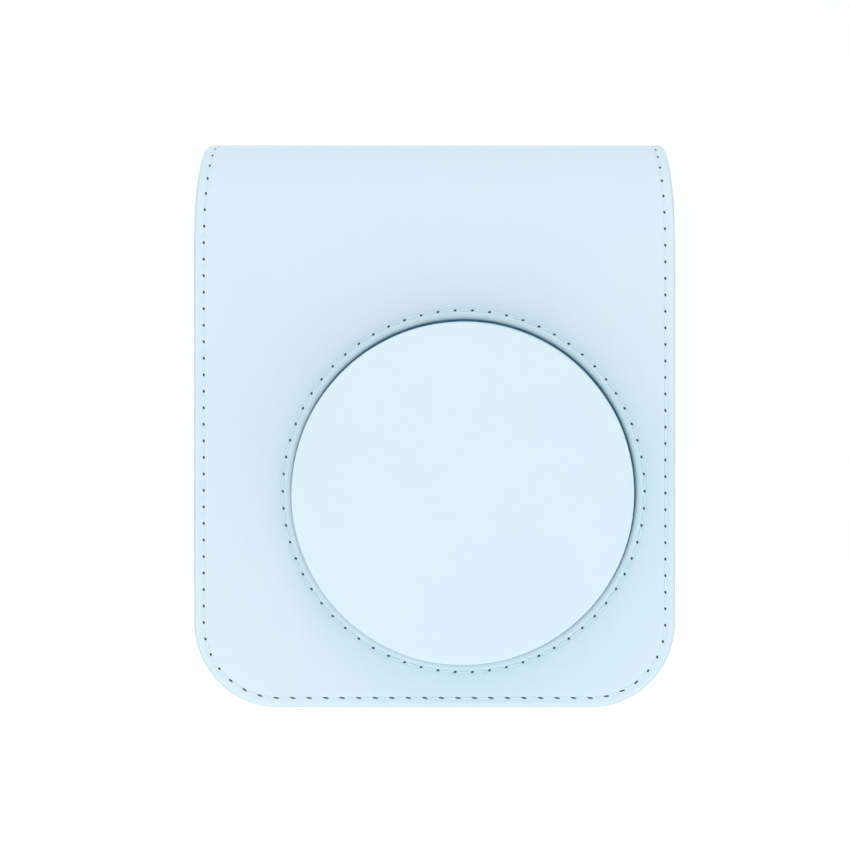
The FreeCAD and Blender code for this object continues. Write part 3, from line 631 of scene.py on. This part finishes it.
def paint_cad_nodes():
    """Every CAD node gets the finish of its slot in the record."""
    for part in frame["record"]["subparts"]:
        mesh = nodes[part["node"]].data
        mesh.materials.clear()
        mesh.materials.append(SLOT_MATERIALS[part["material_slot"]])


# --- the case's panels ------------------------------------------------------------------------------
def grid(low_u, high_u, low_v, high_v, fine_v=(), step=6 * MM):
    """Where a panel is cut into a grid, in u and in v."""
    return cut_lines(low_u, high_u, step), cut_lines(low_v, high_v, step, fine_v)


def make_cover():
    """The front, the fold and the top flap in one panel, with the hole that the lens cup stands in."""
    outline = rounded_path(cover_corners())
    end_v = max(p.y for p in outline)
    hole = circle_path(CUP.x, CUP.z, HOLE_R)
    cuts = grid(-HALF, HALF, 0, end_v, [(FOLD_V, FLAP_V, 0.8 * MM)])
    panel = panel_mesh("cover_panel", outline, on_cover, holes=[(hole, RING_EDGE)], cuts=cuts, ripple=RIPPLE)
    dress(panel, LEATHER, COVER, ("cover_skin", "cover_front_board", "cover_top_board"))
    lining_hole = circle_path(CUP.x, CUP.z, HOLE_R + LINING_IN)
    lining = panel_mesh("cover_lining_cloth", inset_path(outline, LINING_IN), on_cover, LINING_EDGE,
                        [(lining_hole, LINING_EDGE)], cuts)
    dress(lining, SUEDE, COVER, ("cover_lining",))
    stitching("cover_stitching", inset_path(outline, STITCH_IN), True, on_cover, COVER)
    ring = circle_path(CUP.x, CUP.z, HOLE_R + RING_IN)
    stitching("lens_cup_ring_stitching", ring, True, on_cover, COVER, pitch=RING_PITCH)


def window_path(centre_u, centre_v, width, height, radius):
    """A rounded rectangle about a centre."""
    right, left = centre_u + width / 2, centre_u - width / 2
    top, bottom = centre_v + height / 2, centre_v - height / 2
    return rounded_path([(right, bottom, radius), (right, top, radius), (left, top, radius),
                         (left, bottom, radius)], step=0.5 * MM)


def make_back():
    """The back panel, with a window for the finder and one for the film counter."""
    eye_lo, eye_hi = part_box("finder_tube")
    eye = (eye_lo + eye_hi) / 2
    pane_lo, pane_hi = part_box("counter_window")
    pane = (pane_lo + pane_hi) / 2
    outline = rounded_path(back_corners())
    cuts = grid(-HALF, HALF, 0, back_hi.z)
    holes = [(window_path(-eye.x, eye.z, 14 * MM, 14 * MM, 4 * MM), HOLE_EDGE),
             (window_path(-pane.x, pane.z, 9 * MM, 20 * MM, 2 * MM), HOLE_EDGE)]
    panel = panel_mesh("back_panel", outline, on_back, holes=holes, cuts=cuts, ripple=RIPPLE)
    dress(panel, LEATHER, ROOT, ("back_skin", "back_board"))
    lining_holes = [(window_path(-eye.x, eye.z, 17 * MM, 17 * MM, 5 * MM), LINING_EDGE),
                    (window_path(-pane.x, pane.z, 12 * MM, 23 * MM, 3 * MM), LINING_EDGE)]
    lining = panel_mesh("back_lining_cloth", inset_path(outline, LINING_IN), on_back, LINING_EDGE,
                        lining_holes, cuts)
    dress(lining, SUEDE, ROOT, ("back_lining",))
    stitching("back_stitching", inset_path(outline, STITCH_IN), True, on_back, ROOT)


def make_band():
    """The band round the sides and the bottom."""
    depth = band_hi.y - band_lo.y
    front_r, rear_r = 7.5 * MM, 3.5 * MM         # rounding of the band's top corners
    outline = rounded_path([(0, 0, front_r), (band.length, 0, front_r), (band.length, depth, rear_r),
                            (0, depth, rear_r)])
    cuts = (band.bend_lines(1.0 * MM), cut_lines(0, depth, 8 * MM))
    panel = panel_mesh("side_band", outline, band.place, cuts=cuts, ripple=0.08 * MM)
    dress(panel, LEATHER, ROOT, ("band_skin", "band_board"))
    lining = panel_mesh("side_band_lining_cloth", inset_path(outline, LINING_IN), band.place, LINING_EDGE,
                        cuts=cuts)
    dress(lining, SUEDE, ROOT, ("band_lining",))
    stitching("side_band_stitching", inset_path(outline, STITCH_IN), True, band.place, ROOT)


def make_rear_lip():
    """The tab at the top of the back that the flap closes on."""
    thin = (lip_hi.z - lip_lo.z) / WALL

    def place(u, v, depth):
        return Vector((u, v, lip_hi.z - depth * thin))

    outline = rounded_path([(lip_hi.x, lip_lo.y, 8 * MM), (lip_hi.x, lip_hi.y, 0), (lip_lo.x, lip_hi.y, 0),
                            (lip_lo.x, lip_lo.y, 8 * MM)])
    tab = panel_mesh("rear_lip_tab", outline, place, cuts=grid(lip_lo.x, lip_hi.x, lip_lo.y, lip_hi.y))
    dress(tab, LEATHER, ROOT, ("rear_lip",))
    front = [p for p in inset_path(outline, STITCH_IN) if p.y < lip_hi.y - STITCH_IN - 1 * MM]
    gap = max(range(len(front)), key=lambda i: (front[i] - front[i - 1]).length)
    stitching("rear_lip_stitching", front[gap:] + front[:gap], False, place, ROOT)


# --- the lens cup -----------------------------------------------------------------------------------
CUP_TURNS = 180                          # steps round the cup
CUP_LEAN = 0.2 * MM                      # the soft cup's face sits this much to the left of its foot
PAD_PRESSURE, PAD_RISE = 4.0, 0.45 * MM  # what puffs the face pad out, and the most it may rise
CLOTH_STEPS = 20


def lathe(name, profile, waver=0.0):
    """A profile of (radius, y) in mm turned about the cup's axis; a radius of 0 is a point on the axis."""
    bm = bmesh.new()
    rings = []
    for r, y in profile:
        middle = CUP.x - CUP_LEAN * smooth_step((FRONT - y * MM) / (FRONT - face_lo.y))
        if r == 0:
            rings.append([bm.verts.new((middle, y * MM, CUP.z))] * CUP_TURNS)
            continue
        ring = []
        for k in range(CUP_TURNS):
            t = 2 * math.pi * k / CUP_TURNS
            out = r * MM + waver * noise.noise(Vector((3 * math.cos(t), 3 * math.sin(t), y * 0.06)))
            ring.append(bm.verts.new((middle + out * math.cos(t), y * MM, CUP.z + out * math.sin(t))))
        rings.append(ring)
    closed = profile[0][0] > 0
    for a, b in zip(rings, rings[1:] + (rings[:1] if closed else [])):
        for k in range(CUP_TURNS):
            bm.faces.new(list(dict.fromkeys((a[k - 1], a[k], b[k], b[k - 1]))))
    bmesh.ops.recalc_face_normals(bm, faces=bm.faces)
    return as_object(name, bm)


def inflate(obj, pinned, pressure, cap):
    """Cloth pushed out from inside, easing off towards cap; the result is left in the mesh."""
    scene = bpy.context.scene
    obj.vertex_groups.new(name="pin").add(pinned, 1.0, "ADD")
    modifier = obj.modifiers.new("cloth", "CLOTH")
    cloth = modifier.settings
    cloth.vertex_group_mass = "pin"
    cloth.use_pressure = True
    cloth.uniform_pressure_force = pressure
    cloth.effector_weights.gravity = 0
    for step in range(1, CLOTH_STEPS + 1):
        scene.frame_set(step)
    puffed = obj.evaluated_get(bpy.context.evaluated_depsgraph_get()).data
    moves = [b.co - a.co for a, b in zip(obj.data.vertices, puffed.vertices)]
    for vertex, move in zip(obj.data.vertices, moves):
        if move.length > 0:
            vertex.co += move.normalized() * cap * math.tanh(move.length / cap)
    obj.modifiers.remove(modifier)
    obj.vertex_groups.clear()
    scene.frame_set(1)


def make_cup():
    """The cup's wall and lining, turned about its axis, and the soft pad on its face."""
    wall = [(44.3, -15.05), (44.3, -14.7), (38.6, -14.7), (38.1, -24.5), (37.55, -33.6), (37.6, -34.05),
            (37.9, -34.25), (38.2, -34.2), (38.4, -34.0), (38.46, -33.6), (38.5, -32.8), (38.65, -30.5),
            (38.88, -27), (39.1, -23.5), (39.3, -20), (39.45, -17.5), (39.48, -16.2), (39.48, -15.05)]
    dress(lathe("lens_cup_wall", wall, 0.07 * MM), CUP_LEATHER, COVER, ("cup_wall_skin",))
    lining = [(0, -32.3), (30, -32.3), (36.2, -32.3), (36.9, -31.9), (37.1, -29), (37.5, -22), (37.95, -15.2),
              (37.9, -14.8), (37.65, -14.75), (37.5, -15.0), (37.1, -22), (36.7, -29), (36.35, -31.1),
              (35.6, -31.6), (34, -31.7), (20, -31.7), (0, -31.7)]
    dress(lathe("lens_cup_lining_cloth", lining, 0.12 * MM), SUEDE, COVER, ("cup_lining",))
    crown_y, fall, edge_r = -35.3, 0.6, 36
    front = [(0, crown_y)] + [(r, crown_y + fall * (r / edge_r) ** 3) for r in range(3, edge_r + 1, 3)]
    rim = [(36.9, -34.64), (37.5, -34.57), (37.95, -34.5), (38.2, -34.42), (38.3, -34.36), (38.27, -34.3),
           (37.9, -34.27)]
    back = [(36.3, -34.0), (36.2, -33.4), (35.6, -33.15), (30, -33.12), (20, -33.12), (10, -33.12),
            (0, -33.12)]
    pad = lathe("lens_cup_face_pad", front + rim + back)
    free = 1 + (len(front) - 2) * CUP_TURNS
    inflate(pad, list(range(free, len(pad.data.vertices))), PAD_PRESSURE, PAD_RISE)
    pad.modifiers.new("smoother", "SUBSURF").render_levels = 1
    dress(pad, CUP_LEATHER, COVER, ("cup_face_skin", "cup_face_foam"))


# --- hinge, ring tabs, key spring -------------------------------------------------------------------
HINGE_HALF = 34 * MM
STRIP_EDGE = ((0.9, 0), (0.4, 0.02), (0.12, 0.08), (0, 0.22), (0, 0.34), (0.12, 0.46), (0.4, 0.5), (0.9, 0.5))


def make_hinge():
    """A leather strip sewn inside, along the floor of the band and up the back of the cover."""
    floor_z, face_y = 3.0 * MM, FRONT + WALL + 0.62 * MM
    bend_r = 1.2 * MM
    rear_y, top_z = -2.8 * MM, 12 * MM
    flat = rear_y - (face_y + bend_r)
    arc = bend_r * math.pi / 2
    length = flat + arc + top_z - (floor_z + bend_r)

    def place(u, v, depth):
        if v <= flat:
            return Vector((u, rear_y - v, floor_z - depth))
        if v >= flat + arc:
            return Vector((u, face_y - depth, floor_z + bend_r + v - flat - arc))
        t = (v - flat) / bend_r
        r = bend_r + depth
        return Vector((u, face_y + bend_r - r * math.sin(t), floor_z + bend_r - r * math.cos(t)))

    clear_r = HOLE_R + 4.8 * MM                  # the strip's upper edge is cut round the lens cup's flange
    end_r = 2 * MM
    corners = rounded_path([(HINGE_HALF, 0, end_r), (HINGE_HALF, length, end_r), (-HINGE_HALF, length, end_r),
                            (-HINGE_HALF, 0, end_r)])
    outline = []
    for p in corners:
        reach = clear_r ** 2 - (p.x - CUP.x) ** 2
        top = length - top_z + CUP.z - math.sqrt(reach) if reach > 0 else length
        outline.append(Vector((p.x, min(p.y, top))))
    near_bend = 3 * MM
    cuts = (cut_lines(-HINGE_HALF, HINGE_HALF, 6 * MM),
            cut_lines(0, length, near_bend, [(flat - near_bend, flat + arc + near_bend, 0.4 * MM)]))
    strip = panel_mesh("hinge_strip", outline, place, STRIP_EDGE, cuts=cuts)
    strip.data.materials.append(LEATHER)
    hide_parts("cover_hinge_strip", "base_hinge_strip")
    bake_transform(strip)


STRAP_THICK = 0.44 * MM
STRAP_PATH = ((56.22, 92.2, 0), (56.22, 109.5, 3), (56.5, 111.5, 1.0), (56.5, 113.4, 1.38),
              (59.3, 113.4, 1.38), (59.3, 110.8, 1.3), (56.68, 109.4, 2.0), (56.68, 93.2, 0))
STRAP_FACE = 56.9 * MM
SEAM_HALF_Y, SEAM_LOW, SEAM_HIGH = 3.6 * MM, 94.6 * MM, 99.2 * MM   # the box stitching's rectangle


def sweep_strap(bm, path, low_y, high_y, thick, flip):
    """A flat strap along a path of (x, z, radius) in mm; flip mirrors it to the other side."""
    points = rounded_path([(x * MM, z * MM, r * MM) for x, z, r in path], closed=False, step=0.3 * MM)
    r = thick / 2
    rings = []
    for p, m in zip(points, side_normals(points, closed=False)):
        ring = []
        for y, sign in ((low_y + r, -1), (high_y - r, 1)):
            for k in range(5):
                t = (k - 2) * math.pi / 4 * sign
                out = p + m * (r * math.sin(t))
                ring.append(bm.verts.new((out.x * flip, y + sign * r * math.cos(t), out.y)))
        rings.append(ring)
    for a, b in zip(rings, rings[1:]):
        for k in range(len(a)):
            bm.faces.new((a[k - 1], a[k], b[k], b[k - 1]))
    bm.faces.new(rings[0])
    bm.faces.new(rings[-1])


def make_ring_tabs():
    """Leather tabs folded round the rings' bars and box-stitched to the band."""
    bar_lo, bar_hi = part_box("ring_tabs")
    low_y, high_y = bar_lo.y, bar_hi.y
    bm = bmesh.new()
    for flip in (1, -1):
        sweep_strap(bm, STRAP_PATH, low_y, high_y, STRAP_THICK, flip)
    bmesh.ops.recalc_face_normals(bm, faces=bm.faces)
    dress(as_object("ring_tab_straps", bm), CUP_LEATHER, ROOT, ("ring_tabs",))
    mid_y = (low_y + high_y) / 2
    box_path = rounded_path([(SEAM_HALF_Y, SEAM_LOW, 0), (SEAM_HALF_Y, SEAM_HIGH, 0),
                             (-SEAM_HALF_Y, SEAM_HIGH, 0), (-SEAM_HALF_Y, SEAM_LOW, 0)])
    for side, name in ((1, "ring_tab_stitching_right"), (-1, "ring_tab_stitching_left")):
        def place(u, v, depth, side=side):
            return Vector((side * (STRAP_FACE - depth), mid_y + side * u, v))

        stitching(name, box_path, True, place, ROOT, depth=0.02 * MM)


def make_key_spring():
    """The coil under the shutter key; the real one shortens as the key goes in, this one is built at one
    length.
    """
    low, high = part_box("button_spring")
    middle = (low + high) / 2
    wire_r, turns, steps = 0.25 * MM, 3, 32      # steps in each turn
    coil_r = (high.x - low.x) / 2 - wire_r
    end_gap = 1.3 * wire_r
    count = steps * turns
    centres, ups = [], []
    for i in range(count + 1):
        t = 2 * math.pi * i / steps
        ups.append(Vector((math.cos(t), 0, math.sin(t))))
        y = low.y + end_gap + (high.y - low.y - 2 * end_gap) * i / count
        centres.append(Vector((middle.x, y, middle.z)) + ups[-1] * coil_r)
    bm = bmesh.new()
    add_tube(bm, centres, ups, [wire_r] * len(centres), sides=12)
    bmesh.ops.recalc_face_normals(bm, faces=bm.faces)
    spring = dress(as_object("key_spring", bm), STEEL, ROOT, ("button_spring",))
    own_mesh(spring)


# --- stage, light, camera ---------------------------------------------------------------------------
def stage_block(name, low, high, material, bevel):
    """A box with rounded edges that isn't part of the object."""
    bm = bmesh.new()
    bmesh.ops.create_cube(bm, size=1)
    low, high = Vector(low), Vector(high)
    for v in bm.verts:
        v.co = Vector((low[i] + (v.co[i] + 0.5) * (high[i] - low[i]) for i in range(3)))
    bmesh.ops.bevel(bm, geom=bm.edges[:], offset=bevel, segments=3, profile=0.5, affect="EDGES")
    obj = as_object(name, bm)
    obj.data.materials.append(material)


def make_stage():
    """A plinth under the rear of the case, so the cover has room to swing down in front of it."""
    white = Shader("stage_white", Roughness=0.8, Emission_Color=(1, 1, 1, 1), Emission_Strength=0.35)
    white.put(white.bsdf.inputs["Base Color"], white.mix(white.noise(8), (0.86, 0.86, 0.86), (0.9, 0.9, 0.9)))
    floor_z, floor_thick, floor_half = -0.2, 0.02, 3
    stage_block("plinth", (-0.08, 0.005, floor_z), (0.08, 0.08, 0), white.material, 0.6 * MM)
    stage_block("floor", (-floor_half, -floor_half, floor_z - floor_thick), (floor_half, floor_half, floor_z),
                white.material, 2 * MM)


def add_light(name, place, aim, size, watts, colour):
    """A round area light turned towards aim."""
    data = bpy.data.lights.new(name, "AREA")
    data.shape = "DISK"
    data.size = size
    data.energy = watts
    data.color = colour
    obj = bpy.data.objects.new(name, data)
    obj.location = place
    obj.rotation_euler = (Vector(aim) - Vector(place)).to_track_quat("-Z", "Y").to_euler()
    bpy.context.scene.collection.objects.link(obj)


def make_lights():
    """A white studio all round, a little brighter overhead, and one weak warm light above the camera."""
    scene = bpy.context.scene
    world = bpy.data.worlds.new("studio")
    world.use_nodes = True
    tree = world.node_tree
    background = next(n for n in tree.nodes if n.type == "BACKGROUND")
    up = tree.nodes.new("ShaderNodeSeparateXYZ")
    tree.links.new(tree.nodes.new("ShaderNodeTexCoord").outputs["Generated"], up.inputs[0])
    overhead = tree.nodes.new("ShaderNodeMapRange")
    tree.links.new(up.outputs["Z"], overhead.inputs["Value"])
    level, zenith = 1.01, 1.14                   # strength near the horizon and straight up
    for socket, value in zip(("From Min", "From Max", "To Min", "To Max"), (0.25, 1.0, level, zenith)):
        overhead.inputs[socket].default_value = value
    tree.links.new(overhead.outputs["Result"], background.inputs["Strength"])
    background.inputs["Color"].default_value = (0.98, 0.99, 1.0, 1)
    scene.world = world
    scene.view_settings.view_transform = "Standard"
    add_light("key", (0.05, -0.85, 0.62), (0, 0, 0.06), 0.5, 0.75, (1.0, 0.97, 0.93))


def make_camera():
    """Straight on from the front, with the case a little to the left of the lens."""
    data = bpy.data.cameras.new("camera")
    data.sensor_width = 36
    data.lens = 85.12
    data.shift_x = -0.0517
    camera = bpy.data.objects.new("camera", data)
    camera.location = (8 * MM, -484.5 * MM, 65.8 * MM)
    camera.rotation_euler = (math.radians(90), 0, 0)
    bpy.context.scene.collection.objects.link(camera)
    bpy.context.scene.camera = camera


make_camera()
make_lights()
make_stage()
paint_cad_nodes()
make_cover()
make_cup()
make_band()
make_back()
make_rear_lip()
make_hinge()
make_ring_tabs()
make_key_spring()
